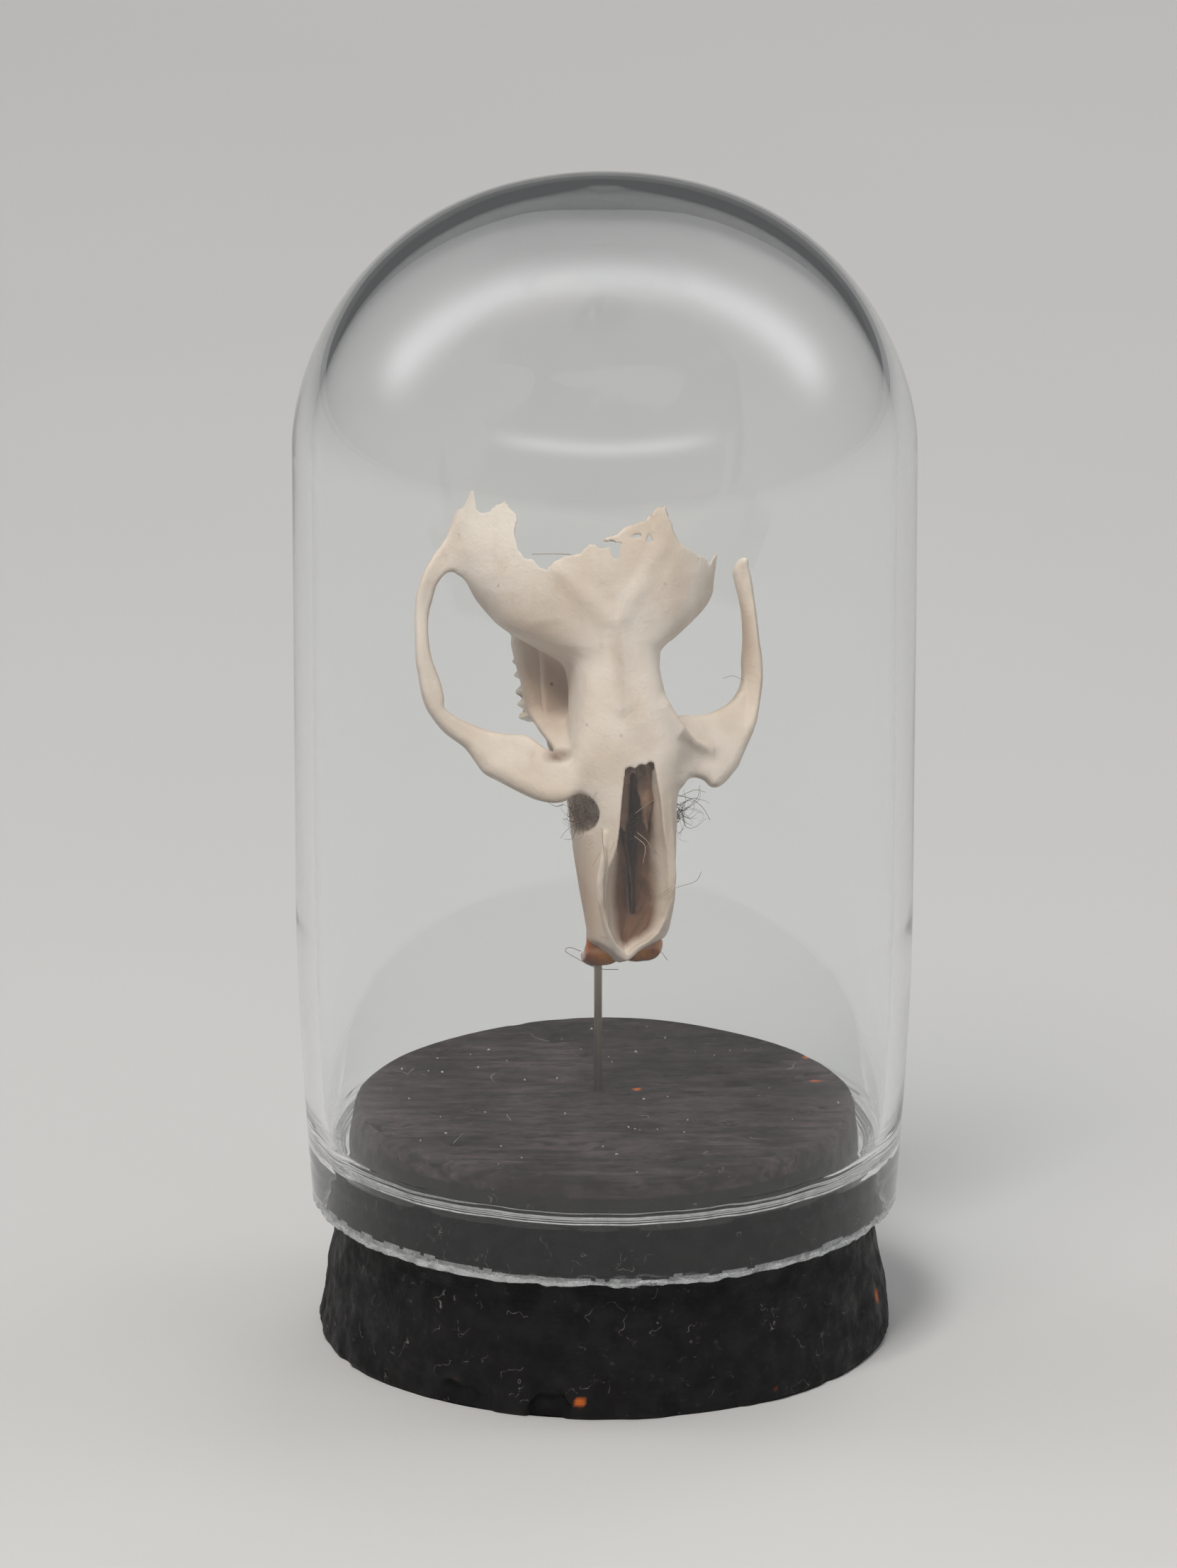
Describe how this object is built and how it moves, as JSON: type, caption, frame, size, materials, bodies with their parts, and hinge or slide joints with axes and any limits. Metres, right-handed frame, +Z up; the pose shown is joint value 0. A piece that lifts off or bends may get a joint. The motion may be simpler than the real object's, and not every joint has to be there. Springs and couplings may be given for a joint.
{
  "type": "bell jar dome",
  "caption": "Small glass bell jar on a tapered cork base, holding a broken rodent skull upright on a thin steel pin for display.",
  "frame": {"origin": "middle of the cork base's underside, on the axis of the glass tube", "axes": "+Z up along the dome's axis, -Y towards the top of the skull, +X towards the animal's left"},
  "size_m": [0.038, 0.038, 0.0726],
  "materials": {
    "cork": "matte black paint over cork, chipped",
    "glass": "clear, hand drawn, slightly wavy",
    "pin": "bright drawn wire",
    "glue": "clear yellowish set adhesive",
    "bone": "satin, cream, lightly stained",
    "nose_bone": "matte, brown stained",
    "incisor": "glossy amber orange enamel",
    "molar": "satin cream enamel"
  },
  "bodies": {
    "base": {"cork_base": "cork"},
    "dome": {"glass_dome": "glass"},
    "pin": {"support_pin": "pin"},
    "skull": {"adhesive_bead": "glue", "frontal_bone": "bone", "palatine": "bone", "nasal_septum": "nose_bone", "parietal_right": "bone", "parietal_left": "bone", "squamosal_right": "bone", "squamosal_left": "bone", "jugal_right": "bone", "jugal_left": "bone", "maxilla_right": "bone", "maxilla_left": "bone", "premaxilla_right": "bone", "premaxilla_left": "bone", "orbitosphenoid_right": "bone", "orbitosphenoid_left": "bone", "turbinate_right": "nose_bone", "turbinate_left": "nose_bone", "incisor_right": "incisor", "incisor_left": "incisor", "molar_1_right": "molar", "molar_2_right": "molar", "molar_3_right": "molar", "molar_1_left": "molar", "molar_2_left": "molar", "molar_3_left": "molar"}
  },
  "joints": [
    {"name": "dome_lift", "type": "slide", "parent": "base", "child": "dome", "axis": [0, 0, 1], "range_m": [0, 0.055]},
    {"name": "pin_pull", "type": "slide", "parent": "base", "child": "pin", "axis": [0, 0, 1], "range_m": [0, 0.009]},
    {"name": "skull_turn", "type": "hinge", "parent": "pin", "child": "skull", "pos_m": [-0.00039, 0.00148, 0.028], "axis": [0, 0, 1], "continuous": true}
  ]
}
